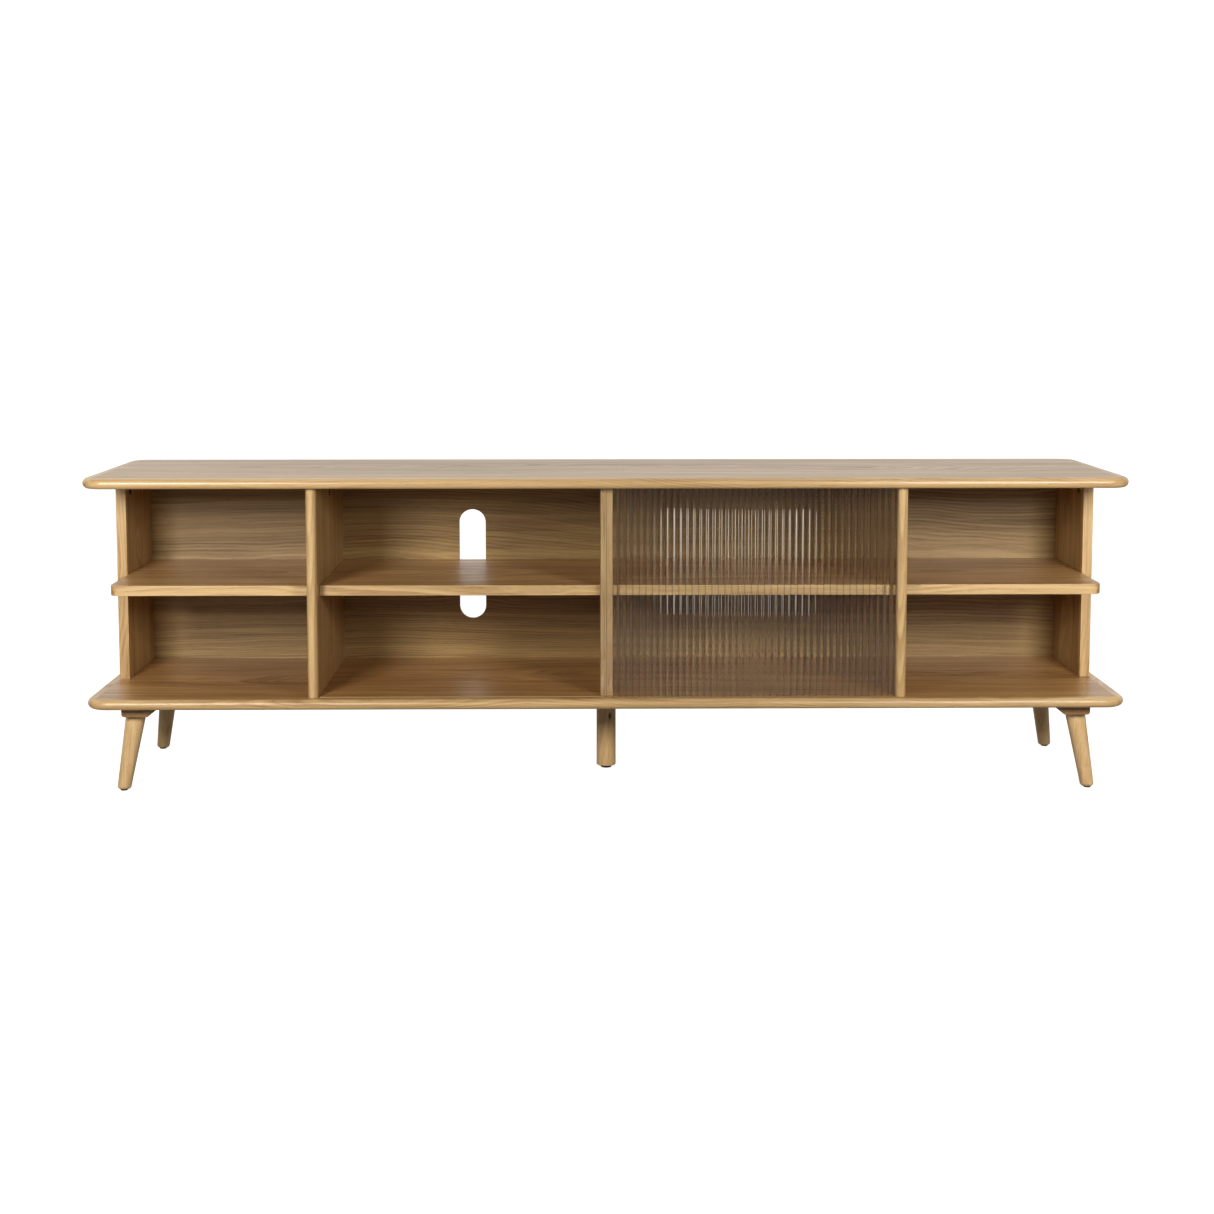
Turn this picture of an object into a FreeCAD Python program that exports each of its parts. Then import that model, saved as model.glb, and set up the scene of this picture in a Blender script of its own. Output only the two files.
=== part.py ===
import FreeCAD, Part
import Sketcher
import os
import re
from FreeCAD import Placement, Rotation, Vector

# Low media cabinet: two long boards with a solid edge, two end panels, three upright
# dividers, four shelves, a slotted back, one sliding ribbed-glass door, four splayed
# legs and a straight centre leg. Millimetres. Origin: middle of the footprint, on the
# floor. +X to the right, +Y to the back, +Z up; the open front faces -Y.

os.makedirs("parts", exist_ok=True)
doc = FreeCAD.newDocument("media_cabinet")

SIZES = {
    # boards
    "width": (1800, "overall width, over the edge noses"),
    "depth": (400, "overall depth, over the edge noses"),
    "board": (18, "thickness of boards, panels, dividers and shelves"),
    "gap_tall": (364, "clear height between the two boards"),
    "floor_gap": (150, "floor to the underside of the bottom board"),
    "lip": (18, "width of the solid edge lipping"),
    "corner": (38, "plan radius of the board corners"),
    "nose": (8.95, "edge rounding, just under half the board"),
    "arris": (0.8, "softened sharp edges"),
    # uprights
    "end_x": (873.5, "mid-plane of the end panels"),
    "end_front": (-13, "front face of the end panels"),
    "divider_x": (509, "mid-plane of the outer dividers"),
    "divider_front": (-182, "nose of the outer dividers"),
    "centre_front": (-164, "front face of the centre divider"),
    # back
    "back_y": (184, "front face of the back panel"),
    "back_thick": (6, "back panel"),
    "rebate": (10, "width of the rebate in the end panels"),
    "slot_x": (253, "cable slot centres"),
    "slot_wide": (50, "cable slot width"),
    "slot_tall": (210, "cable slot height"),
    "slot_round": (24.98, "cable slot end radius"),
    # shelves
    "shelf_level": (173, "shelf underside above the bottom board"),
    "shelf_front": (-147, "front edge of the shelves"),
    "shelf_back": (182, "rear edge of the shelves"),
    "shelf_gap": (0.5, "play at each end of a loose shelf"),
    "shelf_corner": (18, "rounded outer corner of the end shelves"),
    "pin_dia": (5, "shelf pin"),
    "pin_long": (16, "shelf pin length, half of it in the upright"),
    # sliding door
    "track_y": (-175, "middle of the door track"),
    "track_wide": (10, "groove for the track liner"),
    "track_low": (6, "depth of the lower groove"),
    "track_high": (12, "depth of the upper groove"),
    "track_wall": (1.2, "wall of the track liner"),
    "glass_thick": (6, "door glass"),
    "glass_wide": (512, "door glass width"),
    "glass_tall": (375.6, "door glass height"),
    "glass_left": (-13, "left edge of the door as it stands"),
    "glass_play": (0.2, "glass above the liner floor"),
    # legs
    "leg_x": (825, "leg centre at the mounting block"),
    "leg_y": (133, "leg centre at the mounting block"),
    "splay": (20, "outward lean of a leg along X and along Y"),
    "leg_foot": (10.9, "leg cone radius at its low end"),
    "leg_head": (17.9, "leg cone radius at its high end"),
    "leg_round": (5.5, "rounding of a leg's foot"),
    "pad_thick": (2, "pad under a leg"),
    "pad_dia": (12, "pad diameter"),
    "block_y": (137, "block centre along Y"),
    "block_out": (18, "block reach towards the outside"),
    "block_in": (27, "block reach inwards at its underside"),
    "block_top": (49, "block reach inwards at its top"),
    "block_deep": (62, "block length along Y"),
    "block_round": (5, "rounded lower edges of a block"),
    "mid_leg_dia": (35, "centre leg"),
    "mid_leg_low": (5, "centre leg above the floor"),
    "glide_dia": (20, "levelling glide disc"),
    "glide_thick": (4, "levelling glide disc"),
    # fasteners
    "dowel_dia": (8, "wood dowel"),
    "dowel_long": (30, "wood dowel length"),
    "dowel_board": (12, "depth of a dowel in a face"),
    "cam_dia": (15, "cam lock disc"),
    "cam_deep": (13, "cam lock disc thickness"),
    "cam_down": (24, "cam lock centre below the panel end"),
    "cam_bolt": (6, "cam bolt diameter"),
    "cam_grip": (11, "cam bolt thread in the board"),
    "screw_dia": (5, "carcass screw"),
    "screw_long": (41, "carcass screw length"),
    "screw_head": (10, "carcass screw head"),
    "screw_sink": (4, "carcass screw head seat"),
    "back_screw": (3.5, "back panel screw"),
    "bolt_dia": (8, "leg bolt"),
}

sheet = doc.addObject("Spreadsheet::Sheet", "Sizes")
for row, (alias, (number, note)) in enumerate(SIZES.items(), start=1):
    sheet.set(f"A{row}", note)
    sheet.set(f"B{row}", str(number))
    sheet.setAlias(f"B{row}", alias)
doc.recompute()


def cell(text):
    """Turn size names in an expression into references to the sheet."""
    return re.sub(r"[a-z_]+", lambda m: "Sizes." + m[0] if m[0] in SIZES else m[0], str(text))


def bind(obj, **sizes):
    for prop, text in sizes.items():
        obj.setExpression(prop, cell(text))
    return obj


def place(obj, x=0, y=0, z=0):
    for axis, text in zip("xyz", (x, y, z)):
        obj.setExpression(f"Placement.Base.{axis}", cell(text))
    return obj


def body(name, x=0, y=0, z=0):
    return place(doc.addObject("PartDesign::Body", name), x, y, z)


def sketch(owner, role, lift=0):
    """Empty sketch on one of the body's own origin planes, lifted along its normal."""
    new = owner.newObject("Sketcher::SketchObject", owner.Name + "_sketch")
    plane = [f for f in owner.Origin.OriginFeatures if f.Role == role][0]
    new.AttachmentSupport = [(plane, "")]
    new.MapMode = "FlatFace"
    new.setExpression("AttachmentOffset.Base.z", cell(lift))
    return new


def fix(target, geo, point, x, y):
    """Hold one sketch point at the expressions x and y from the sketch origin."""
    for kind, text in (("DistanceX", x), ("DistanceY", y)):
        number = target.addConstraint(Sketcher.Constraint(kind, -1, 1, geo, point, 1.0))
        target.setExpression(f"Constraints[{number}]", cell(text))


def polygon(target, points):
    """Closed outline of straight lines through the given points."""
    count, first = len(points), target.GeometryCount
    for k in range(count):
        a, b = (Vector(p, p * p, 0) for p in (k, (k + 1) % count))
        target.addGeometry(Part.LineSegment(a, b), False)
    for k in range(count):
        after = first + (k + 1) % count
        target.addConstraint(Sketcher.Constraint("Coincident", first + k, 2, after, 1))
        fix(target, first + k, 1, *points[k])


def rectangle(target, x0, y0, x1, y1):
    polygon(target, [(x0, y0), (x1, y0), (x1, y1), (x0, y1)])


def pad(owner, base, long):
    new = owner.newObject("PartDesign::Pad", owner.Name + "_pad")
    new.Profile = base
    base.Visibility = False
    bind(new, Length=long)
    doc.recompute()
    return new


def pocket(owner, base, deep, up=False):
    """Cut the sketch's outline out of the body, against its normal or, with up, along it."""
    before = owner.Tip.Shape.Volume
    new = owner.newObject("PartDesign::Pocket", owner.Name + "_pocket")
    new.Profile = base
    new.Reversed = up
    bind(new, Length=deep)
    doc.recompute()
    if new.Shape.Volume > before - 1:
        raise RuntimeError(f"{new.Name} cuts nothing")
    return new


def soften(owner, radius, chosen):
    """Round the edges of the body's tip that the test picks."""
    tip = owner.Tip
    names = [f"Edge{k}" for k, e in enumerate(tip.Shape.Edges, start=1) if chosen(e)]
    new = owner.newObject("PartDesign::Fillet", owner.Name + "_fillet")
    new.Base = (tip, names)
    bind(new, Radius=radius)
    doc.recompute()
    return new


def spans(edge, x=None, y=None, z=None):
    """True when the edge stays at the given local coordinates all along."""
    box = edge.BoundBox
    wanted = ((x, box.XMin, box.XMax), (y, box.YMin, box.YMax), (z, box.ZMin, box.ZMax))
    return all(v is None or (abs(low - v) < 0.01 and abs(high - v) < 0.01)
               for v, low, high in wanted)


def rod(name, dia, long, x, y, z, axis="z"):
    """Plain cylinder that starts at x, y, z and runs along +X, +Y or +Z."""
    new = doc.addObject("Part::Cylinder", name)
    bind(new, Radius=f"({dia}) / 2", Height=long)
    turn = {"x": Rotation(Vector(0, 1, 0), 90), "y": Rotation(Vector(1, 0, 0), -90),
            "z": Rotation()}[axis]
    new.Placement = Placement(Vector(), turn)
    return place(new, x, y, z)


def head(name, low_dia, high_dia, long, x, y, z, axis="z"):
    """Truncated cone, for screw heads."""
    new = doc.addObject("Part::Cone", name)
    bind(new, Radius1=f"({low_dia}) / 2", Radius2=f"({high_dia}) / 2", Height=long)
    turn = Rotation(Vector(1, 0, 0), -90) if axis == "y" else Rotation()
    new.Placement = Placement(Vector(), turn)
    return place(new, x, y, z)


def fuse(name, *parts):
    new = doc.addObject("Part::MultiFuse", name)
    new.Shapes = list(parts)
    return new


def group(name, parts):
    new = doc.addObject("Part::Compound", name)
    new.Links = list(parts)
    return new


def cut(name, base, tool):
    new = doc.addObject("Part::Cut", name)
    new.Base = base
    new.Tool = tool
    return new


def common(name, base, tool):
    new = doc.addObject("Part::Common", name)
    new.Base = base
    new.Tool = tool
    return new


pieces = []

# ---------------------------------------------------------------- fasteners
# They are placed first, because every board is drilled by the fasteners it takes.
LOW = "floor_gap + board"
HIGH = "floor_gap + board + gap_tall"
UPRIGHTS = {"left_end": ("-end_x", 1), "left_divider": ("-divider_x", 1),
            "centre_divider": ("0", 1), "right_divider": ("divider_x", -1),
            "right_end": ("end_x", -1)}

dowels, cams, cam_blanks, cam_bolts, screws = [], [], [], [], []
for name, (x, face) in UPRIGHTS.items():
    ended = name.endswith("_end")
    # wood dowels in both ends of the upright
    for k, y in enumerate((90,) if ended else (-140, 70)):
        dowels.append(rod(f"{name}_top_dowel{k}", "dowel_dia", "dowel_long",
                          x, y, f"{HIGH} + dowel_board - dowel_long"))
    for k, y in enumerate((22, 158) if ended else (-140, 150)):
        dowels.append(rod(f"{name}_low_dowel{k}", "dowel_dia", "dowel_long",
                          x, y, f"{LOW} - dowel_board"))
    # cam lock: a disc let into the face, slotted for the bolt that hangs from the board
    for k, y in enumerate((22, 158) if ended else (0, 150)):
        level = f"{HIGH} - cam_down"
        start = f"{x} + {face} * board / 2 - cam_deep * {(1 + face) // 2}"
        blank = rod(f"{name}_cam_blank{k}", "cam_dia", "cam_deep", start, y, level, "x")
        slot = rod(f"{name}_cam_slot{k}", "cam_bolt + 1", "cam_dia", x, y, level)
        cam_blanks.append(blank)
        cams.append(cut(f"{name}_cam{k}", blank, slot))
        cam_bolts.append(rod(f"{name}_cam_bolt{k}", "cam_bolt", "cam_down + cam_grip",
                             x, y, level))
    # countersunk screws up through the bottom board
    for k, y in enumerate((90,) if ended else (-60, 60)):
        shank = rod(f"{name}_screw_shank{k}", "screw_dia", "screw_long",
                    x, y, "floor_gap + screw_sink")
        sunk = head(f"{name}_screw_head{k}", "screw_head", "screw_dia", 3,
                    x, y, "floor_gap + screw_sink - 3")
        screws.append(fuse(f"{name}_screw{k}", shank, sunk))

# dowels that carry the end shelves, and loose pins under the middle shelves
shelf_dowels, pins = [], []
for side, sign in (("left", -1), ("right", 1)):
    mid = f"{LOW} + shelf_level + board / 2"
    wall = "end_x - board / 2" if sign > 0 else "-end_x + board / 2 - dowel_board"
    wall = wall + " + dowel_board - dowel_long" if sign > 0 else wall
    inner = ("divider_x + board / 2 - dowel_board" if sign > 0
             else "-divider_x - board / 2 + dowel_board - dowel_long")
    for k, y in enumerate((40, 140)):
        shelf_dowels.append(rod(f"{side}_shelf_wall_dowel{k}", "dowel_dia", "dowel_long",
                                wall, y, mid, "x"))
    for k, y in enumerate((-100, 140)):
        shelf_dowels.append(rod(f"{side}_shelf_inner_dowel{k}", "dowel_dia", "dowel_long",
                                inner, y, mid, "x"))
    outer_face = "divider_x - board / 2" if sign > 0 else "-divider_x + board / 2"
    inner_face = "board / 2" if sign > 0 else "-board / 2"
    for where, face in (("outer", outer_face), ("inner", inner_face)):
        for k, y in enumerate((-110, 110)):
            pins.append(rod(f"{side}_{where}_pin{k}", "pin_dia", "pin_long",
                            f"{face} - pin_long / 2", y,
                            f"{LOW} + shelf_level - pin_dia / 2", "x"))

# pan-head screws that hold the back panel on the rear edges
back_screws = []
for name, x in (("left", "-end_x + 4"), ("left_mid", "-divider_x"), ("centre", "0"),
                ("right_mid", "divider_x"), ("right", "end_x - 4")):
    for k, z in enumerate((40, 182, 324)):
        shank = rod(f"{name}_back_shank{k}", "back_screw", 20,
                    x, "back_y + back_thick - 20", f"{LOW} + {z}", "y")
        cap = head(f"{name}_back_cap{k}", 7, 5, 1.6, x, "back_y + back_thick",
                   f"{LOW} + {z}", "y")
        back_screws.append(fuse(f"{name}_back_screw{k}", shank, cap))

# leg bolts lean with the legs, block screws stand upright, the centre bolt is plumb
lean = "atan(splay * sqrt(2) / (floor_gap - board))"
CORNERS = {"front_left": (-1, -1), "front_right": (1, -1),
           "rear_left": (-1, 1), "rear_right": (1, 1)}


def leaning(obj, sx, sy, z):
    """Stand the object on a leg's axis at height z and tilt it inwards."""
    run = f"splay * (1 - ({z}) / (floor_gap - board))"
    obj.Placement = Placement(Vector(), Rotation(Vector(sy, -sx, 0), 10))
    obj.setExpression("Placement.Rotation.Angle", cell(lean))
    return place(obj, f"{sx} * (leg_x + {run})", f"{sy} * (leg_y + {run})", z)


leg_bolts, block_screws = [], []
for name, (sx, sy) in CORNERS.items():
    bolt = doc.addObject("Part::Cylinder", f"{name}_leg_bolt")
    bind(bolt, Radius="bolt_dia / 2", Height=46)
    leg_bolts.append(leaning(bolt, sx, sy, 101))
    for k, y in enumerate((-25, 25)):
        spot = (f"{sx} * 812", f"{sy} * block_y + {y}")
        shank = rod(f"{name}_block_shank{k}", 4.5, 29, *spot, "floor_gap - board + 1")
        sunk = head(f"{name}_block_head{k}", 9, 4.5, 3, *spot, "floor_gap - board + 1")
        block_screws.append(fuse(f"{name}_block_screw{k}", shank, sunk))
centre_bolt = rod("centre_leg_bolt", "bolt_dia", 42, 0, 0, "floor_gap - 30")

hardware = group("hardware", dowels + cam_blanks + cam_bolts + screws + shelf_dowels + pins
                 + back_screws + leg_bolts + block_screws + [centre_bolt])
for label, parts in (("carcass_dowels", dowels + shelf_dowels), ("cam_locks", cams),
                     ("cam_bolts", cam_bolts), ("carcass_screws", screws),
                     ("shelf_pins", pins), ("back_panel_screws", back_screws),
                     ("leg_hanger_bolts", leg_bolts), ("leg_block_screws", block_screws)):
    pieces.append((label, group(label, parts)))
pieces.append(("centre_leg_bolt", centre_bolt))
doc.recompute()

# ---------------------------------------------------------------- top and bottom boards
# A veneered core inside four mitred strips of solid wood. The strips come from one
# rounded blank per board: plan corners first, then the nose all the way round.
for which, level in (("top", HIGH), ("bottom", "floor_gap")):
    blank = body(f"{which}_blank", 0, 0, level)
    plan = sketch(blank, "XY_Plane")
    rectangle(plan, "-width / 2", "-depth / 2", "width / 2", "depth / 2")
    pad(blank, plan, "board")
    soften(blank, "corner", lambda e: e.BoundBox.ZLength > 1)
    soften(blank, "nose", lambda e: e.BoundBox.ZLength < 0.01)
    for strip, turn, half, reach in (("front", 0, "depth / 2", "width / 2"),
                                     ("right", 90, "width / 2", "depth / 2"),
                                     ("back", 180, "depth / 2", "width / 2"),
                                     ("left", 270, "width / 2", "depth / 2")):
        wedge = doc.addObject("Part::Wedge", f"{which}_{strip}_mitre")
        bind(wedge, Xmin=f"-{reach} - 10", Xmax=f"{reach} + 10", Ymin=f"-{half} - 10",
             Ymax=f"-{half} + lip", X2min=f"-{reach} + lip", X2max=f"{reach} - lip",
             Zmin=0, Zmax="board", Z2min=0, Z2max="board")
        wedge.Placement = Placement(Vector(), Rotation(Vector(0, 0, 1), turn))
        place(wedge, 0, 0, level)
        label = f"{which}_{strip}_lipping"
        pieces.append((label, common(label, blank, wedge)))

    core = body(f"{which}_core", 0, 0, level)
    plan = sketch(core, "XY_Plane")
    rectangle(plan, "-width / 2 + lip", "-depth / 2 + lip", "width / 2 - lip",
              "depth / 2 - lip")
    pad(core, plan, "board")
    # groove for the door track, between the outer dividers
    groove = sketch(core, "XY_Plane", 0 if which == "top" else "board")
    rectangle(groove, "-divider_x + board / 2", "track_y - track_wide / 2",
              "divider_x - board / 2", "track_y + track_wide / 2")
    pocket(core, groove, "track_high" if which == "top" else "track_low", which == "top")
    pieces.append((f"{which}_panel", cut(f"{which}_panel", core, hardware)))

# ---------------------------------------------------------------- uprights
# Full-height panels between the boards, all in the local frame of their own mid-plane.
for name, (x, face) in UPRIGHTS.items():
    ended = name.endswith("_end")
    front = {"centre_divider": "centre_front"}.get(name, "divider_front")
    front = "end_front" if ended else front
    rear = "back_y + back_thick" if ended else "back_y"
    upright = body(f"{name}_blank", x, 0, LOW)
    plan = sketch(upright, "XY_Plane")
    rectangle(plan, "-board / 2", front, "board / 2", rear)
    pad(upright, plan, "gap_tall")
    front_y = SIZES[front][0]
    # the outer dividers end in a full nose, the others in a flat edge
    nosed = front == "divider_front"
    soften(upright, "nose" if nosed else "arris",
           lambda e: spans(e, y=front_y) and e.BoundBox.ZLength > 1)
    if ended:
        # rebate for the back panel along the inner rear edge
        step = sketch(upright, "XY_Plane", "gap_tall")
        rectangle(step, f"{face} * (board / 2 - rebate)", "back_y",
                  f"{face} * (board / 2 + 1)", "back_y + back_thick + 1")
        pocket(upright, step, "gap_tall + 1")
    label = name if "divider" in name else name.replace("_end", "_side_panel")
    pieces.append((label, cut(label, upright, hardware)))

# ---------------------------------------------------------------- back panel
back = body("back_blank", 0, "back_y + back_thick", LOW)
sheet_plan = sketch(back, "XZ_Plane")
rectangle(sheet_plan, "-end_x + board / 2 - rebate + shelf_gap", 0,
          "end_x - board / 2 + rebate - shelf_gap", "gap_tall")
pad(back, sheet_plan, "back_thick")
slots = sketch(back, "XZ_Plane", "back_thick")
for x in ("-slot_x", "slot_x"):
    rectangle(slots, f"{x} - slot_wide / 2", "(gap_tall - slot_tall) / 2",
              f"{x} + slot_wide / 2", "(gap_tall + slot_tall) / 2")
pocket(back, slots, "back_thick")
soften(back, "slot_round", lambda e: e.BoundBox.YLength > 1 and 200 < abs(e.BoundBox.XMin) < 300)
pieces.append(("back_panel", cut("back_panel", back, hardware)))

# ---------------------------------------------------------------- shelves
# The end shelves reach past the end panels and round off at their free front corner.
for side, sign in (("left", -1), ("right", 1)):
    near, far = "divider_x + board / 2", "end_x - board / 2"
    bays = {"end": (near, far, "0"), "mid": ("board / 2", "divider_x - board / 2", "shelf_gap")}
    for bay, (low, high, play) in bays.items():
        shelf = body(f"{side}_{bay}_shelf_blank", 0, 0, f"{LOW} + shelf_level")
        plan = sketch(shelf, "XY_Plane")
        rectangle(plan, f"{sign} * ({low} + {play})", "shelf_front",
                  f"{sign} * ({high} - {play})", "shelf_back")
        pad(shelf, plan, "board")
        outer = sign * (SIZES["end_x"][0] - SIZES["board"][0] / 2)
        front_y = SIZES["shelf_front"][0]
        if bay == "end":
            soften(shelf, "shelf_corner", lambda e: spans(e, x=outer, y=front_y))
        soften(shelf, "arris", lambda e: spans(e, y=front_y) and e.BoundBox.XLength > 1)
        label = f"{side}_{bay}_shelf"
        pieces.append((label, cut(label, shelf, hardware)))

# ---------------------------------------------------------------- sliding door
# Each track liner is a channel pressed into its groove, open towards the door.
for which, level, turn in (("lower", f"{LOW} - track_low", 1), ("upper", HIGH, -1)):
    deep = "track_low" if turn > 0 else "track_high"
    liner = body(f"{which}_door_track", "-divider_x + board / 2", "track_y", level)
    profile = sketch(liner, "YZ_Plane")
    half, bore = "track_wide / 2", "track_wide / 2 - track_wall"
    mouth, floor = (deep, "track_wall") if turn > 0 else ("0", f"{deep} - track_wall")
    base = "0" if turn > 0 else deep
    polygon(profile, [(f"-{half}", base), (half, base), (half, mouth), (bore, mouth),
                      (bore, floor), (f"-({bore})", floor), (f"-({bore})", mouth),
                      (f"-{half}", mouth)])
    pad(liner, profile, "2 * divider_x - board")
    pieces.append((f"{which}_door_track", liner))

door = body("glass_door", "glass_left", "track_y - glass_thick / 2",
            f"{LOW} - track_low + track_wall + glass_play")
plan = sketch(door, "XY_Plane")
rectangle(plan, 0, 0, "glass_wide", "glass_thick")
pad(door, plan, "glass_tall")
soften(door, "arris", lambda e: True)
pieces.append(("glass_door", door))

# ---------------------------------------------------------------- legs
# A bevelled block under the bottom board, and a tapered leg cut level at both ends.
leg_space = doc.addObject("Part::Box", "leg_space")
bind(leg_space, Length="width", Width="depth", Height="floor_gap - board - pad_thick")
place(leg_space, "-width / 2", "-depth / 2", "pad_thick")
for name, (sx, sy) in CORNERS.items():
    block = body(f"{name}_block_blank", f"{sx} * leg_x", f"{sy} * block_y + block_deep / 2",
                 "floor_gap - board")
    profile = sketch(block, "XZ_Plane")
    polygon(profile, [(f"{sx} * block_out", 0), (f"{sx} * block_out", "board"),
                      (f"-{sx} * block_top", "board"), (f"-{sx} * block_in", 0)])
    pad(block, profile, "block_deep")
    soften(block, "block_round", lambda e: spans(e, z=0) and e.BoundBox.YLength > 1)
    soften(block, "arris", lambda e: spans(e, z=0) and e.BoundBox.XLength > 1)
    pieces.append((f"{name}_leg_block", cut(f"{name}_leg_block", block, hardware)))

    taper = doc.addObject("Part::Cone", f"{name}_leg_taper")
    bind(taper, Radius1="leg_foot", Radius2="leg_head",
         Height=f"(floor_gap + 6) / cos({lean})")
    leaning(taper, sx, sy, -10)
    level_cut = common(f"{name}_leg_level", taper, leg_space)
    doc.recompute()
    rim = [k for k, e in enumerate(level_cut.Shape.Edges, start=1)
           if e.BoundBox.ZMax < SIZES["pad_thick"][0] + 0.01]
    rounded = doc.addObject("Part::Fillet", f"{name}_leg_rounded")
    rounded.Base = level_cut
    rounded.Edges = [(k, SIZES["leg_round"][0], SIZES["leg_round"][0]) for k in rim]
    pieces.append((f"{name}_leg", cut(f"{name}_leg", rounded, hardware)))

    disc = rod(f"{name}_leg_pad", "pad_dia", "pad_thick",
               f"{sx} * (leg_x + splay - 0.3)", f"{sy} * (leg_y + splay - 0.3)", 0)
    pieces.append((f"{name}_leg_pad", disc))


def turned(name, outline):
    """Body turned about the vertical axis from a half outline of radius and height."""
    new = body(name)
    half = sketch(new, "XZ_Plane")
    polygon(half, outline)
    spin = new.newObject("PartDesign::Revolution", f"{name}_turn")
    spin.Profile = half
    spin.ReferenceAxis = (half, ["V_Axis"])
    spin.Angle = 360
    return new


# ---------------------------------------------------------------- centre leg
# Straight and plumb, drilled for its bolt above and for the levelling glide below.
pieces.append(("centre_leg", turned("centre_leg", [
    ("6", "mid_leg_low"), ("mid_leg_dia / 2 - 1", "mid_leg_low"),
    ("mid_leg_dia / 2", "mid_leg_low + 1"), ("mid_leg_dia / 2", "floor_gap"),
    ("bolt_dia / 2", "floor_gap"), ("bolt_dia / 2", "floor_gap - 30"),
    ("0", "floor_gap - 30"), ("0", "mid_leg_low + 48"), ("4.5", "mid_leg_low + 48"),
    ("4.5", "mid_leg_low + 18"), ("6", "mid_leg_low + 18")])))
pieces.append(("glide_insert", turned("glide_insert", [
    ("4.2", "mid_leg_low"), ("6", "mid_leg_low"), ("6", "mid_leg_low + 18"),
    ("4.2", "mid_leg_low + 18")])))
pieces.append(("levelling_glide", turned("levelling_glide", [
    ("0", "0"), ("glide_dia / 2 - 1", "0"), ("glide_dia / 2", "1"),
    ("glide_dia / 2", "glide_thick - 0.5"), ("glide_dia / 2 - 0.5", "glide_thick"),
    ("3.9", "glide_thick"), ("3.9", "mid_leg_low + 35"), ("0", "mid_leg_low + 35")])))
doc.recompute()

# ---------------------------------------------------------------- check and write
for obj in doc.Objects:
    if "Invalid" in obj.State or "Error" in obj.State:
        raise RuntimeError(f"{obj.Name} is {obj.State}")
for label, obj in pieces:
    obj.Label = label
    shape = obj.Shape
    if shape.isNull() or not shape.isValid() or not shape.Solids:
        raise RuntimeError(f"{label} has no valid shape")
    shape.exportStep(f"parts/{label}.step")
    print(f"{label:28s} {len(shape.Solids):3d} solids {shape.Volume / 1000:10.2f} cm3")
print(len(pieces), "nodes")
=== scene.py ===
import math

import bpy
import numpy as np
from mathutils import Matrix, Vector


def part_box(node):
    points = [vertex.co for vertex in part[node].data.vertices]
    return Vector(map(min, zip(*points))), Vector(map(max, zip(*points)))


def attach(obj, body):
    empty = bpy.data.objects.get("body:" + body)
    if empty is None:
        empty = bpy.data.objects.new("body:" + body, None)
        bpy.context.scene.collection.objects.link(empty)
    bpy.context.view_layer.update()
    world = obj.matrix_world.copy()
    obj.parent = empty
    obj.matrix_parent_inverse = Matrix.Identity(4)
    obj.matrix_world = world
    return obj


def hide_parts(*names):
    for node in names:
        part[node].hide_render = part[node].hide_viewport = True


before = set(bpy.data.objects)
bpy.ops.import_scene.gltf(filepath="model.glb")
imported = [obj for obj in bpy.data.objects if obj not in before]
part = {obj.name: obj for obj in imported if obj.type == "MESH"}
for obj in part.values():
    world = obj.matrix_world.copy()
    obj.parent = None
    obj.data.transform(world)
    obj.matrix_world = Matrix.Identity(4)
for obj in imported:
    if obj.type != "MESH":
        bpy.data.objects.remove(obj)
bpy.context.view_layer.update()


# ---- Top and bottom boards --------------------------------------------------------------
# Oak veneer on a flat core, laid in long leaves with the grain running along the cabinet.
# Matt clear lacquer lets the open pores and the growth rings show.

def node(tree, kind, links=(), **settings):
    """Add one node, set its properties or input values, and link inputs to other outputs."""
    made = tree.nodes.new(kind)
    for name, value in settings.items():
        if hasattr(made, name):
            setattr(made, name, value)
        else:
            made.inputs[name.replace("_", " ")].default_value = value
    for name, source in dict(links).items():
        tree.links.new(source, made.inputs[name])
    return made


def math_of(tree, kind, *terms):
    """Result of one Math node on outputs or plain numbers."""
    made = tree.nodes.new("ShaderNodeMath")
    made.operation = kind
    for slot, term in zip(made.inputs, terms):
        if isinstance(term, (int, float)):
            slot.default_value = term
        else:
            tree.links.new(term, slot)
    return made.outputs[0]


def blend_of(tree, factor, a, b, mode="MIX"):
    """Colour mix of a and b (outputs or colours) by factor (an output or a number)."""
    made = tree.nodes.new("ShaderNodeMix")
    made.data_type, made.blend_type = "RGBA", mode
    factor_slot, a_slot, b_slot = made.inputs[0], made.inputs[6], made.inputs[7]
    for slot, term in ((factor_slot, factor), (a_slot, a), (b_slot, b)):
        if hasattr(term, "is_linked"):
            tree.links.new(term, slot)
        else:
            slot.default_value = term
    return made.outputs[2]


def ramp_of(tree, source, low, high):
    """Smooth step from 0 at low to 1 at high."""
    return node(tree, "ShaderNodeMapRange", {"Value": source},
                interpolation_type="SMOOTHSTEP", From_Min=low, From_Max=high).outputs[0]


def axis_of(tree, vector, axis):
    """One of the three numbers of a vector."""
    return node(tree, "ShaderNodeSeparateXYZ", {"Vector": vector}).outputs[axis]


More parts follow.
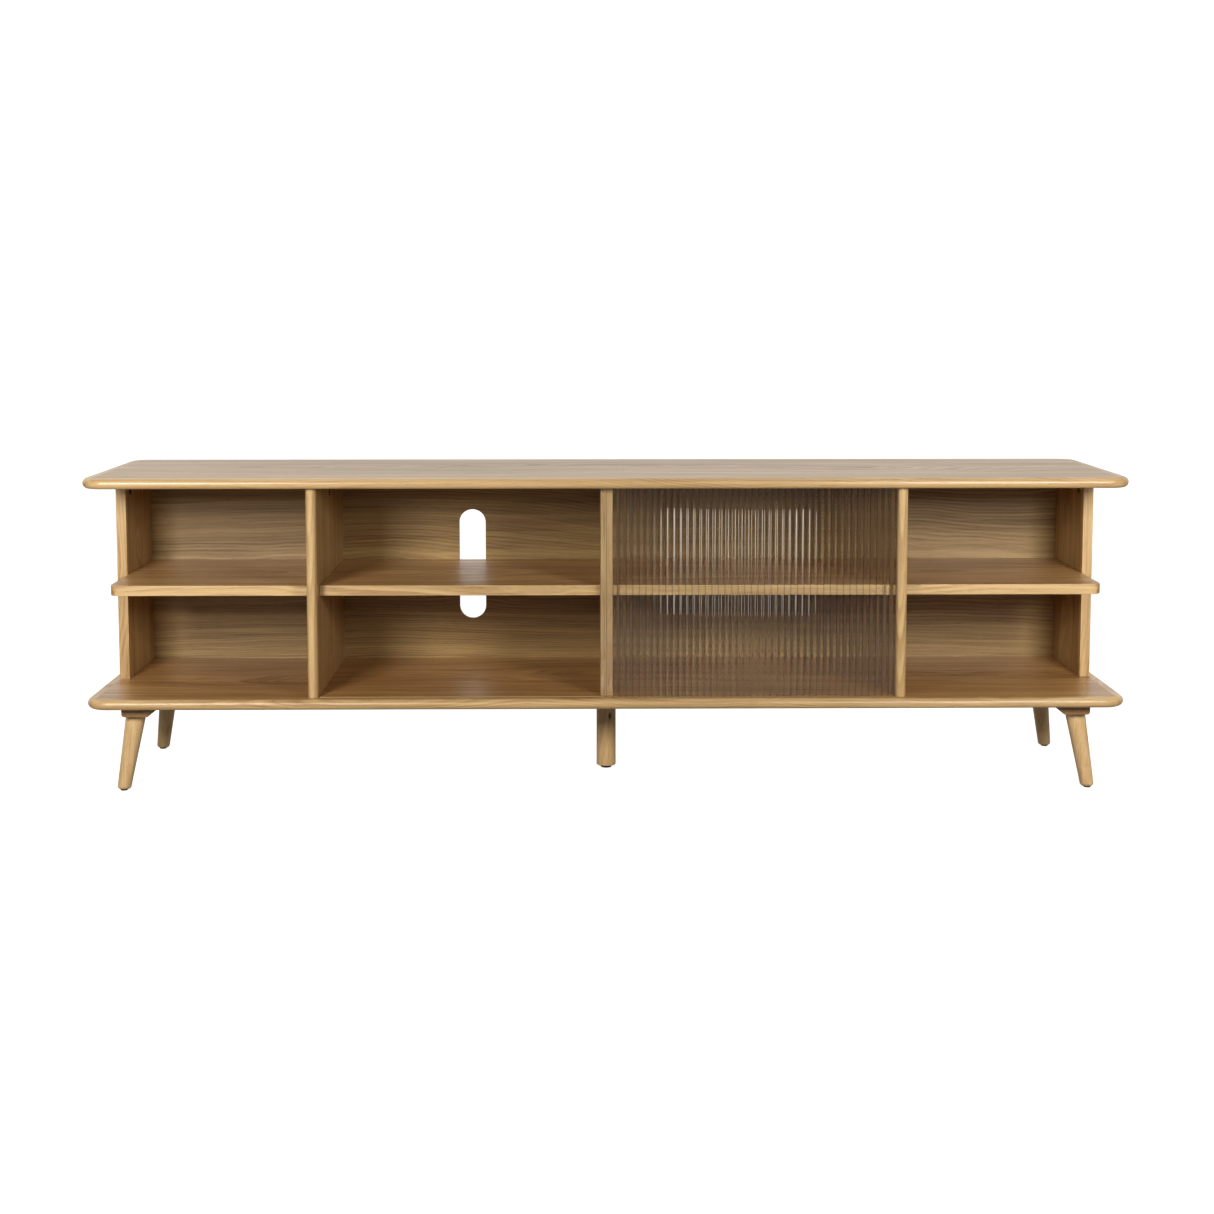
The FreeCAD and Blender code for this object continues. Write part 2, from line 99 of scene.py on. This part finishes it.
def make_grain():
    """Oak figure. X runs along the grain. Growth rings are cylinders about a slightly tilted
    pith line, bent by slow noise, so a flat cut shows nested arches: uneven bands are noise
    of the distance from the pith, thin lines a sawtooth of it. Fibres and pores are noise
    drawn out along X. Faces turned to the end of the grain soak up finish and go dark."""
    tree = bpy.data.node_groups.new("oak grain", "ShaderNodeTree")
    port = tree.interface.new_socket
    port("Vector", in_out="INPUT", socket_type="NodeSocketVector")
    port("Facing", in_out="INPUT", socket_type="NodeSocketVector")
    for name, value in (("Pale", (0.6, 0.42, 0.24, 1)), ("Brown", (0.3, 0.17, 0.08, 1))):
        port(name, in_out="INPUT", socket_type="NodeSocketColor").default_value = value
    for name, value in (("Seed", 0.0), ("Pith", 0.05), ("Tilt", 0.03), ("Figure", 0.5),
                        ("Pores", 0.5), ("Rings", 1.0)):
        port(name, in_out="INPUT", socket_type="NodeSocketFloat").default_value = value
    port("Color", in_out="OUTPUT", socket_type="NodeSocketColor")
    port("Roughness", in_out="OUTPUT", socket_type="NodeSocketFloat")
    port("Height", in_out="OUTPUT", socket_type="NodeSocketFloat")
    given = tree.nodes.new("NodeGroupInput").outputs
    spot = node(tree, "ShaderNodeSeparateXYZ", {"Vector": given["Vector"]}).outputs

    # each seed reads the noise at a place of its own
    seed_steps = {"X": 1.713, "Y": 0.291, "Z": 0.377}
    along, side, deep = (math_of(tree, "MULTIPLY_ADD", given["Seed"], step, spot[axis])
                         for axis, step in seed_steps.items())

    def noise(lengthwise, across, detail=2.0, rough=0.5, shift=0.0):
        """Noise from 0 to 1 with so many cells to the metre along and across the grain."""
        place = node(tree, "ShaderNodeCombineXYZ", {
            "X": math_of(tree, "MULTIPLY_ADD", along, lengthwise, shift),
            "Y": math_of(tree, "MULTIPLY", side, across),
            "Z": math_of(tree, "MULTIPLY", deep, across)}).outputs[0]
        return node(tree, "ShaderNodeTexNoise", {"Vector": place}, Scale=1.0,
                    Detail=detail, Roughness=rough).outputs["Fac"]

    def swing(source, reach):
        """A noise from 0 to 1 drawn out to run from -reach to reach."""
        return math_of(tree, "MULTIPLY_ADD", source, 2 * reach, -reach)

    # distance from the bent pith line, in metres
    bend, ripple_depth = 0.05, 0.005
    sway = swing(noise(1.0, 2.4, 1.0), bend)
    rise = swing(noise(2.2, 4.5, 1.5, shift=7.0), bend)
    ripple = swing(noise(7.0, 26.0, 1.5, shift=4.0), ripple_depth)
    off_y = math_of(tree, "ADD", spot["Y"], sway)
    off_z = math_of(tree, "ADD", math_of(tree, "ADD", given["Pith"], spot["Z"]),
                    math_of(tree, "MULTIPLY_ADD", spot["X"], given["Tilt"], rise))
    square = math_of(tree, "ADD", math_of(tree, "MULTIPLY", off_y, off_y),
                     math_of(tree, "MULTIPLY", off_z, off_z))
    radius = math_of(tree, "ADD", math_of(tree, "SQRT", square), ripple)
    spread = math_of(tree, "MULTIPLY", radius, given["Rings"])

    # growth rings: so many to the metre, each line swelling slowly and ending sharply
    band_rate, line_rate, band_drift = 150.0, 190.0, 0.8
    ring_spot = node(tree, "ShaderNodeCombineXYZ", {
        "X": math_of(tree, "MULTIPLY", along, band_drift),
        "Y": math_of(tree, "MULTIPLY", spread, band_rate), "Z": given["Seed"]}).outputs[0]
    band = node(tree, "ShaderNodeTexNoise", {"Vector": ring_spot}, Scale=1.0, Detail=2.5,
                Roughness=0.6).outputs["Fac"]
    saw = math_of(tree, "FRACT", math_of(tree, "MULTIPLY", spread, line_rate))
    line = math_of(tree, "MULTIPLY", ramp_of(tree, saw, 0.2, 0.9),
                   ramp_of(tree, math_of(tree, "SUBTRACT", 1.0, saw), 0.0, 0.12))
    patches = ramp_of(tree, noise(1.4, 15.0, shift=3.0), 0.3, 0.6)
    ring = math_of(tree, "ADD", math_of(tree, "MULTIPLY", line, patches),
                   ramp_of(tree, band, 0.32, 0.68))

    # pores: short dashes, stronger in the rings
    pore = ramp_of(tree, noise(55.0, 1500.0, 1.0, shift=2.0), 0.62, 0.72)
    pore = math_of(tree, "MULTIPLY", pore, math_of(tree, "MULTIPLY_ADD", ring, 0.6, 0.4))

    # tone: 0 is Pale and 1 is Brown
    ring_middle, tone_middle = 0.65, 0.32
    fibre = noise(6.0, 240.0, 5.0, 0.7)
    streak = noise(2.6, 110.0, 3.0, 0.6, shift=5.0)
    cloud = noise(1.6, 34.0, 3.0, 0.65, shift=9.0)
    broad = noise(0.9, 10.0, shift=11.0)
    tone = math_of(tree, "MULTIPLY", math_of(tree, "SUBTRACT", ring, ring_middle),
                   given["Figure"])
    for texture, reach in ((fibre, 0.75), (streak, 0.55), (cloud, 0.45), (broad, 0.25)):
        tone = math_of(tree, "ADD", tone, swing(texture, reach))
    tone = math_of(tree, "ADD", tone, tone_middle)
    tone = node(tree, "ShaderNodeClamp", {"Value": tone}).outputs[0]
    wood = blend_of(tree, tone, given["Pale"], given["Brown"])
    pore_shade, end_shade = (0.5, 0.44, 0.38, 1), (0.62, 0.53, 0.44, 1)
    dark = blend_of(tree, 1.0, given["Brown"], pore_shade, "MULTIPLY")
    wood = blend_of(tree, math_of(tree, "MULTIPLY", pore, given["Pores"]), wood, dark)

    # end grain
    turned = math_of(tree, "ABSOLUTE", axis_of(tree, given["Facing"], "X"))
    soaked = blend_of(tree, 1.0, wood, end_shade, "MULTIPLY")
    wood = blend_of(tree, ramp_of(tree, turned, 0.45, 0.95), wood, soaked)

    # brown wood is a little rougher; pores are sunk and fibres stand a little proud
    rough = math_of(tree, "MULTIPLY_ADD", tone, 0.12, 0.36)
    height = math_of(tree, "SUBTRACT", math_of(tree, "MULTIPLY", fibre, 0.4), pore)
    node(tree, "NodeGroupOutput", {"Color": wood, "Roughness": rough, "Height": height})
    return tree


grain = make_grain()
ALONG_X, ALONG_Y, ALONG_Z = (0, 0, 0), (0, 0, -math.pi / 2), (0, math.pi / 2, 0)
LIPPING_PALE, LIPPING_BROWN = (0.66, 0.450, 0.212, 1), (0.38, 0.220, 0.084, 1)
GLUE_LINE = 0.0006


def oak(name, direction=ALONG_X, pale=(0.54, 0.345, 0.142, 1), brown=(0.25, 0.132, 0.042, 1),
        centre=(0, 0, 0), coat=0.15, front=None, **figure):
    """Lacquered oak whose grain runs along the given direction, with the arches of its figure
    about the given centre. Where front is given, everything nearer than that Y is a paler
    solid lipping."""
    made = bpy.data.materials.new(name)
    made.use_nodes = True
    tree = made.node_tree
    shader = tree.nodes["Principled BSDF"]
    place = tree.nodes.new("ShaderNodeTexCoord").outputs
    moved = node(tree, "ShaderNodeMapping", {"Vector": place["Object"]},
                 Location=tuple(-c for c in centre)).outputs[0]
    turned = node(tree, "ShaderNodeMapping", {"Vector": moved}, Rotation=direction).outputs[0]
    facing = node(tree, "ShaderNodeMapping", {"Vector": place["Normal"]}, vector_type="VECTOR",
                  Rotation=direction).outputs[0]

    def leaf(light, deep, seed_shift=0.0):
        """Colour, roughness and height of one cut of wood between a light and a deep shade."""
        cut = node(tree, "ShaderNodeGroup", {}, node_tree=grain)
        tree.links.new(turned, cut.inputs["Vector"])
        tree.links.new(facing, cut.inputs["Facing"])
        for key, value in (("Pale", light), ("Brown", deep), *figure.items()):
            cut.inputs[key].default_value = value
        cut.inputs["Seed"].default_value += seed_shift
        return cut.outputs

    veneer = leaf(pale, brown)
    colour = veneer["Color"]
    if front is not None:
        strip = leaf(LIPPING_PALE, LIPPING_BROWN, seed_shift=3.7)["Color"]
        behind = ramp_of(tree, axis_of(tree, place["Object"], "Y"), front, front + GLUE_LINE)
        colour = blend_of(tree, behind, strip, colour)
    relief = node(tree, "ShaderNodeBump", {"Height": veneer["Height"]},
                  Strength=0.25, Distance=0.0003)
    tree.links.new(colour, shader.inputs["Base Color"])
    tree.links.new(veneer["Roughness"], shader.inputs["Roughness"])
    tree.links.new(relief.outputs[0], shader.inputs["Normal"])
    shader.inputs["Coat Weight"].default_value = coat
    shader.inputs["Coat Roughness"].default_value = 0.28
    return made


def dress(name, material):
    """Give a CAD node its finish through its material slots."""
    mesh = part[name].data
    mesh.materials.clear()
    mesh.materials.append(material)


dress("top_panel", oak("top veneer", centre=(0.2, 0.02, 0.55), Seed=1.0, Pith=0.10,
                       Tilt=0.03, Figure=0.4))
dress("bottom_panel", oak("bottom veneer", pale=(0.60, 0.350, 0.132, 1),
                          brown=(0.26, 0.122, 0.035, 1), centre=(-0.3, 0.0, 0.16),
                          Seed=2.3, Pith=0.12, Tilt=-0.03, Figure=0.4))


# ---- Edge lippings ----------------------------------------------------------------------
# Strips of solid oak mitred round each board, glued on and rounded to a full bullnose.
# The strips run with the edge, so the grain on the short ends runs front to back.

# Painted shade: the top lippings take a darker copy of the lipping's pale colour, toning down
# the stronger lamp light that falls on the top nose.
SHADED_TOP_LIPPING_PALE = (0.615, 0.418, 0.198, 1)

for level, shade, seed in (("top", SHADED_TOP_LIPPING_PALE, 3.6), ("bottom", LIPPING_PALE, 3.1)):
    for count, (edge, way, shift) in enumerate((
            ("front", ALONG_X, 0.0), ("back", ALONG_X, 0.1),
            ("left", ALONG_Y, 0.0), ("right", ALONG_Y, 0.0))):
        low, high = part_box(f"{level}_{edge}_lipping")
        middle = (low + high) / 2
        dress(f"{level}_{edge}_lipping", oak(
            f"{level} {edge} lipping", way, shade, LIPPING_BROWN,
            centre=(middle.x + shift, middle.y, middle.z), coat=0.2, Seed=seed + count,
            Pith=0.035, Tilt=0.02, Figure=0.35, Rings=1.2))


# ---- End panels and dividers ------------------------------------------------------------
# Full-height uprights between the boards, veneered with the grain standing up and lipped in
# front; the lippings of the outer dividers are rounded. Dowels and cam locks hold them.

UPRIGHT_LIPPING = 0.012

for count, name in enumerate(("left_side_panel", "left_divider", "centre_divider",
                              "right_divider", "right_side_panel")):
    low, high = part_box(name)
    dress(name, oak(name.replace("_", " "), ALONG_Z, centre=(low + high) / 2,
                    front=low.y + UPRIGHT_LIPPING, Seed=8.0 + 1.7 * count, Pith=0.08,
                    Tilt=0.05, Figure=0.4, Rings=1.1))


# ---- Shelves ----------------------------------------------------------------------------
# Veneered boards with the grain along the cabinet and a thin edge band. The end shelves are
# dowelled, with a rounded free corner; the two middle ones lie loose on steel pins.

EDGE_BAND = 0.002

for count, name in enumerate(("left_end_shelf", "left_mid_shelf", "right_mid_shelf",
                              "right_end_shelf")):
    low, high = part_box(name)
    # Painted light: the shelves take a paler copy of the veneer colours, lifting the shade
    # that falls on them inside the bays.
    dress(name, oak(name.replace("_", " "), pale=(0.72, 0.440, 0.185, 1),
                    brown=(0.31, 0.168, 0.057, 1), centre=(low + high) / 2,
                    front=low.y + EDGE_BAND, Seed=17.0 + 1.3 * count, Pith=0.09,
                    Tilt=0.04, Figure=0.4))


# ---- Back panel -------------------------------------------------------------------------
# One thin veneered sheet let into the end panels and screwed to the dividers, flat cut so
# that wide arches run along it. Each middle bay has a round-ended slot for cables.

STANDING_SHEET = (math.pi / 2, 0, 0)

dress("back_panel", oak("back veneer", STANDING_SHEET, pale=(0.43, 0.288, 0.113, 1),
                        brown=(0.210, 0.120, 0.037, 1), centre=(0.1, 0.187, 0.33),
                        Seed=0.4, Pith=0.07, Tilt=0.02, Figure=0.42))


# ---- Sliding door -----------------------------------------------------------------------
# A frameless pane of clear reeded glass with polished edges: flat behind, with 45 upright
# ribs and the hollows between them in front. It stands in two wood-coloured plastic
# channels let into the boards.

RIBS, STEPS, RISE = 45, 16, 0.0025


def reeded_pane(low, high):
    """Closed pane. Along X the front is a wave of parabolas, crest up and trough down by
    turns, whose slope rises and falls evenly; a crest stands RISE above a trough. The
    outline runs along the front and back again behind, and is carried straight up."""
    pitch = (high.x - low.x) / RIBS
    u = np.arange(RIBS * STEPS + 1) / STEPS
    v = np.mod(u, 1.0)
    wave = np.where(v < 0.25, 8 * v ** 2,
                    np.where(v < 0.75, 1 - 8 * (v - 0.5) ** 2, 8 * (1 - v) ** 2))
    x = low.x + u * pitch
    front = np.stack([x, low.y + RISE - RISE * wave], 1)
    behind = np.stack([x, np.full_like(x, high.y)], 1)
    count = len(x)
    ring = np.concatenate([front, behind])
    points = np.concatenate([np.column_stack([ring, np.full(2 * count, z)])
                             for z in (low.z, high.z)])
    i = np.arange(count - 1)
    top = 2 * count
    quads = [np.stack([i, i + 1, i + 1 + top, i + top], 1),
             np.stack([i + 1 + count, i + count, i + count + top, i + 1 + count + top], 1),
             np.stack([i + 1, i, i + count, i + count + 1], 1),
             np.stack([i + top, i + 1 + top, i + count + 1 + top, i + count + top], 1),
             np.array([[count, 0, top, count + top],
                       [count - 1, 2 * count - 1, 2 * count - 1 + top, count - 1 + top]])]
    return points, np.concatenate(quads)


def surface(name, points, faces, crease=30.0):
    """Mesh object from arrays of points and faces, smooth except at edges over the crease."""
    mesh = bpy.data.meshes.new(name)
    mesh.from_pydata(points.tolist(), [], faces.tolist())
    mesh.validate()
    mesh.shade_smooth()
    mesh.set_sharp_from_angle(angle=math.radians(crease))
    made = bpy.data.objects.new(name, mesh)
    bpy.context.scene.collection.objects.link(made)
    return made


def reeded_glass(low, high):
    """Clear glass with painted shade along the hollows between the ribs: it is greyer there,
    standing in for the light the ribs bend away from the eye. Shadow and diffuse rays go
    straight through a plain light grey filter, so the bay behind is lit as through a flat
    pane."""
    made = bpy.data.materials.new("reeded glass")
    made.use_nodes = True
    tree = made.node_tree
    shader = tree.nodes["Principled BSDF"]
    across = axis_of(tree, tree.nodes.new("ShaderNodeTexCoord").outputs["Object"], "X")
    phase = math_of(tree, "FRACT", math_of(
        tree, "MULTIPLY", math_of(tree, "SUBTRACT", across, low.x), RIBS / (high.x - low.x)))
    from_crest = math_of(tree, "ABSOLUTE", math_of(tree, "SUBTRACT", phase, 0.5))
    # painted shade: the glass turns greyer towards each hollow between the ribs, standing in
    # for the light the ribs bend away
    painted_trough_shade = blend_of(tree, ramp_of(tree, from_crest, 0.36, 0.48), (0.94, 0.94, 0.92, 1),
                    (0.66, 0.65, 0.60, 1))
    tree.links.new(painted_trough_shade, shader.inputs["Base Color"])
    shader.inputs["Roughness"].default_value = 0.0
    shader.inputs["IOR"].default_value = 1.5
    shader.inputs["Transmission Weight"].default_value = 1.0
    ray = tree.nodes.new("ShaderNodeLightPath").outputs
    clear = node(tree, "ShaderNodeBsdfTransparent", Color=(0.87, 0.865, 0.855, 1))
    passing = tree.nodes.new("ShaderNodeMixShader")
    tree.links.new(math_of(tree, "MAXIMUM", ray["Is Shadow Ray"], ray["Is Diffuse Ray"]),
                   passing.inputs[0])
    tree.links.new(shader.outputs[0], passing.inputs[1])
    tree.links.new(clear.outputs[0], passing.inputs[2])
    tree.links.new(passing.outputs[0], tree.nodes["Material Output"].inputs["Surface"])
    return made


low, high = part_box("glass_door")
pane = surface("reeded_glass_pane", *reeded_pane(low, high))
pane.data.materials.append(reeded_glass(low, high))
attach(pane, "door")
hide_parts("glass_door")


def make_mottle():
    """Fine cloudy noise of a given grain size, as moulding and plating leave it. Mask is the
    noise with more contrast; Roughness is Rough plus Amount times the noise."""
    tree = bpy.data.node_groups.new("fine mottle", "ShaderNodeTree")
    port = tree.interface.new_socket
    port("Vector", in_out="INPUT", socket_type="NodeSocketVector")
    for name, value in (("Size", 0.001), ("Rough", 0.4), ("Amount", 0.2)):
        port(name, in_out="INPUT", socket_type="NodeSocketFloat").default_value = value
    port("Mask", in_out="OUTPUT", socket_type="NodeSocketFloat")
    port("Roughness", in_out="OUTPUT", socket_type="NodeSocketFloat")
    given = tree.nodes.new("NodeGroupInput").outputs
    cloud = node(tree, "ShaderNodeTexNoise", {
        "Vector": given["Vector"], "Scale": math_of(tree, "DIVIDE", 1.0, given["Size"])},
        Detail=3.0).outputs["Fac"]
    rough = math_of(tree, "MULTIPLY_ADD", cloud, given["Amount"], given["Rough"])
    node(tree, "NodeGroupOutput", {"Mask": ramp_of(tree, cloud, 0.3, 0.7),
                                   "Roughness": rough})
    return tree


mottle = make_mottle()


def mottled(name, colour, deep, size, rough, amount, metallic=0.0):
    """Material whose colour wanders between two shades and its roughness with it."""
    made = bpy.data.materials.new(name)
    made.use_nodes = True
    tree = made.node_tree
    shader = tree.nodes["Principled BSDF"]
    cloud = node(tree, "ShaderNodeGroup", {}, node_tree=mottle)
    tree.links.new(tree.nodes.new("ShaderNodeTexCoord").outputs["Object"],
                   cloud.inputs["Vector"])
    for key, value in (("Size", size), ("Rough", rough), ("Amount", amount)):
        cloud.inputs[key].default_value = value
    tree.links.new(blend_of(tree, cloud.outputs["Mask"], deep, colour),
                   shader.inputs["Base Color"])
    tree.links.new(cloud.outputs["Roughness"], shader.inputs["Roughness"])
    shader.inputs["Metallic"].default_value = metallic
    return made


track = mottled("track plastic", (0.43, 0.28, 0.125, 1), (0.37, 0.24, 0.105, 1),
                size=0.0011, rough=0.4, amount=0.2)
dress("lower_door_track", track)
dress("upper_door_track", track)


# ---- Legs and mounting blocks -----------------------------------------------------------
# Solid oak, turned to a taper and lacquered. Each leg leans out from a bevelled block that
# is screwed under the bottom board, with a small felt pad at its foot.

LEG_PALE, LEG_BROWN = (0.68, 0.465, 0.228, 1), (0.47, 0.285, 0.118, 1)
felt = mottled("dark felt", (0.07, 0.06, 0.05, 1), (0.02, 0.017, 0.014, 1),
               size=0.0004, rough=0.85, amount=0.15)

for count, corner in enumerate(("front_left", "front_right", "rear_left", "rear_right")):
    low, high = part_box(corner + "_leg")
    middle = (low + high) / 2
    in_words = corner.replace("_", " ")
    dress(corner + "_leg", oak(in_words + " leg", ALONG_Z, LEG_PALE, LEG_BROWN,
                               centre=middle, coat=0.2, Seed=24.0 + 2.1 * count,
                               Pith=0.02, Tilt=0.05, Figure=0.3, Rings=1.3))
    dress(corner + "_leg_block", oak(in_words + " block", ALONG_Y,
                                     pale=(0.52, 0.335, 0.15, 1),
                                     brown=(0.33, 0.19, 0.075, 1), centre=middle,
                                     Seed=33.0 + 1.9 * count, Pith=0.03, Figure=0.35))
    dress(corner + "_leg_pad", felt)


# ---- Centre leg and levelling glide -----------------------------------------------------
# A straight turned oak post bolted under the middle of the bottom board, with a small dark
# knot near its top. A black glide on a threaded stem screws into an insert in its foot.

KNOT_SPOT, KNOT_SIZE = (0.0068, -0.016, 0.098), (0.0035, 0.008, 0.0075)


def add_knot(material):
    """Darken a soft-edged ellipsoid of KNOT_SIZE about KNOT_SPOT in a wood material."""
    tree = material.node_tree
    base = tree.nodes["Principled BSDF"].inputs["Base Color"]
    away = node(tree, "ShaderNodeMapping", {
        "Vector": tree.nodes.new("ShaderNodeTexCoord").outputs["Object"]},
        Location=tuple(-spot / size for spot, size in zip(KNOT_SPOT, KNOT_SIZE)),
        Scale=tuple(1 / size for size in KNOT_SIZE)).outputs[0]
    reach = node(tree, "ShaderNodeVectorMath", {"Vector": away}, operation="LENGTH")
    clear_of_it = ramp_of(tree, reach.outputs["Value"], 0.35, 1.25)
    wood = base.links[0].from_socket
    tree.links.new(blend_of(tree, clear_of_it, (0.07, 0.035, 0.015, 1), wood), base)


post = oak("centre leg", ALONG_Z, LEG_PALE, LEG_BROWN, centre=(0, 0, 0.08), coat=0.2,
           Seed=41.0, Pith=0.02, Tilt=0.05, Figure=0.3, Rings=1.3)
add_knot(post)
dress("centre_leg", post)
dress("levelling_glide", mottled("black plastic", (0.022, 0.021, 0.020, 1),
                                 (0.014, 0.013, 0.012, 1), size=0.0008, rough=0.35,
                                 amount=0.25))


# ---- Fittings ---------------------------------------------------------------------------
# Cam locks in dark plated zinc, bright zinc-plated screws, pins and bolts, raw beech
# dowels. Most of them are buried in the boards; the cam discs show on the inner faces.

zinc = mottled("bright zinc", (0.75, 0.75, 0.73, 1), (0.66, 0.66, 0.64, 1),
               size=0.0014, rough=0.25, amount=0.12, metallic=1.0)
for name in ("cam_bolts", "carcass_screws", "shelf_pins", "back_panel_screws",
             "leg_hanger_bolts", "leg_block_screws", "centre_leg_bolt", "glide_insert"):
    dress(name, zinc)
dress("cam_locks", mottled("dark zinc", (0.11, 0.083, 0.06, 1), (0.085, 0.064, 0.047, 1),
                           size=0.0014, rough=0.45, amount=0.12, metallic=1.0))
dress("carcass_dowels", oak("raw beech", pale=(0.68, 0.50, 0.32, 1),
                            brown=(0.55, 0.37, 0.22, 1), coat=0.0, Figure=0.1))


# ---- Studio -----------------------------------------------------------------------------
# A bright white backdrop behind, a dimmer room in front and a pale floor. Two softboxes
# stand in front at the left and right, above the top board and tilted down to the cabinet.

WHITE = (1, 1, 1, 1)
ROOM_DIM, ROOM_BRIGHT = 0.02, 1.09

world = bpy.data.worlds.new("studio")
bpy.context.scene.world = world
world.use_nodes = True
tree = world.node_tree
towards = axis_of(tree, tree.nodes.new("ShaderNodeTexCoord").outputs["Generated"], "Y")
backdrop = math_of(tree, "MULTIPLY_ADD", ramp_of(tree, towards, -0.25, 0.25),
                   ROOM_BRIGHT - ROOM_DIM, ROOM_DIM)
seen = tree.nodes.new("ShaderNodeLightPath").outputs["Is Camera Ray"]
tree.links.new(math_of(tree, "MAXIMUM", backdrop, seen),
               tree.nodes["Background"].inputs["Strength"])
tree.nodes["Background"].inputs["Color"].default_value = WHITE

FLOOR_HALF, FLOOR_GLOW = 30, 0.86
GLASS_NEAR, GLASS_FAR = 0.12, 0.59
THROUGH_GLASS = (1, 0.87, 0.72, 1)


def pale_floor():
    """Grey paint that glows white to the camera, so no horizon shows. Through glass the glow
    is warmer and weaker, from GLASS_NEAR by the cabinet to GLASS_FAR well behind it."""
    made = bpy.data.materials.new("pale floor")
    made.use_nodes = True
    tree = made.node_tree
    shader = tree.nodes["Principled BSDF"]
    shader.inputs["Base Color"].default_value = (0.32, 0.32, 0.32, 1)
    shader.inputs["Roughness"].default_value = 0.9
    ray = tree.nodes.new("ShaderNodeLightPath").outputs
    depth = axis_of(tree, tree.nodes.new("ShaderNodeTexCoord").outputs["Object"], "Y")
    share = math_of(tree, "MULTIPLY_ADD", ramp_of(tree, depth, 1.0, 4.5),
                    GLASS_FAR - GLASS_NEAR, GLASS_NEAR)
    seen = math_of(tree, "MAXIMUM", ray["Is Camera Ray"],
                   math_of(tree, "MULTIPLY", ray["Is Transmission Ray"], share))
    tree.links.new(blend_of(tree, ray["Is Camera Ray"], THROUGH_GLASS, WHITE),
                   shader.inputs["Emission Color"])
    tree.links.new(math_of(tree, "MULTIPLY", seen, FLOOR_GLOW),
                   shader.inputs["Emission Strength"])
    return made


plane = bpy.data.meshes.new("floor")
plane.from_pydata([(FLOOR_HALF * x, FLOOR_HALF * y, 0)
                   for x, y in ((-1, -1), (1, -1), (1, 1), (-1, 1))], [], [(0, 1, 2, 3)])
plane.materials.append(pale_floor())
floor = bpy.data.objects.new("floor", plane)
bpy.context.scene.collection.objects.link(floor)

BOX_WIDE, BOX_TALL, BOX_POWER, BOX_SPREAD = 0.55, 0.46, 22.0, 140
BOX_SIDE, BOX_FRONT, BOX_HIGH, AIM_HIGH = 1.12, 1.9, 1.0, 0.3

for name, side in (("softbox left", -1), ("softbox right", 1)):
    lamp = bpy.data.lights.new(name, "AREA")
    lamp.shape, lamp.size, lamp.size_y = "RECTANGLE", BOX_WIDE, BOX_TALL
    lamp.energy, lamp.spread = BOX_POWER, math.radians(BOX_SPREAD)
    lit = bpy.data.objects.new(name, lamp)
    bpy.context.scene.collection.objects.link(lit)
    lit.location = (side * BOX_SIDE, -BOX_FRONT, BOX_HIGH)
    lit.rotation_euler = (math.atan2(BOX_FRONT, BOX_HIGH - AIM_HIGH), 0, 0)
    lit.visible_camera = False

VIEW_DOWN, VIEW_TURN = 5.2581, -0.7405

lens = bpy.data.cameras.new("camera")
lens.lens, lens.sensor_width, lens.shift_y = 55.298, 36.0, -0.1113
view = bpy.data.objects.new("camera", lens)
bpy.context.scene.collection.objects.link(view)
view.location = (-0.04181, -3.35966, 0.85238)
view.rotation_euler = (math.radians(90 - VIEW_DOWN), 0.0, math.radians(VIEW_TURN))
bpy.context.scene.camera = view
bpy.context.scene.view_settings.view_transform = "Standard"
bpy.context.scene.view_settings.gamma = 0.91
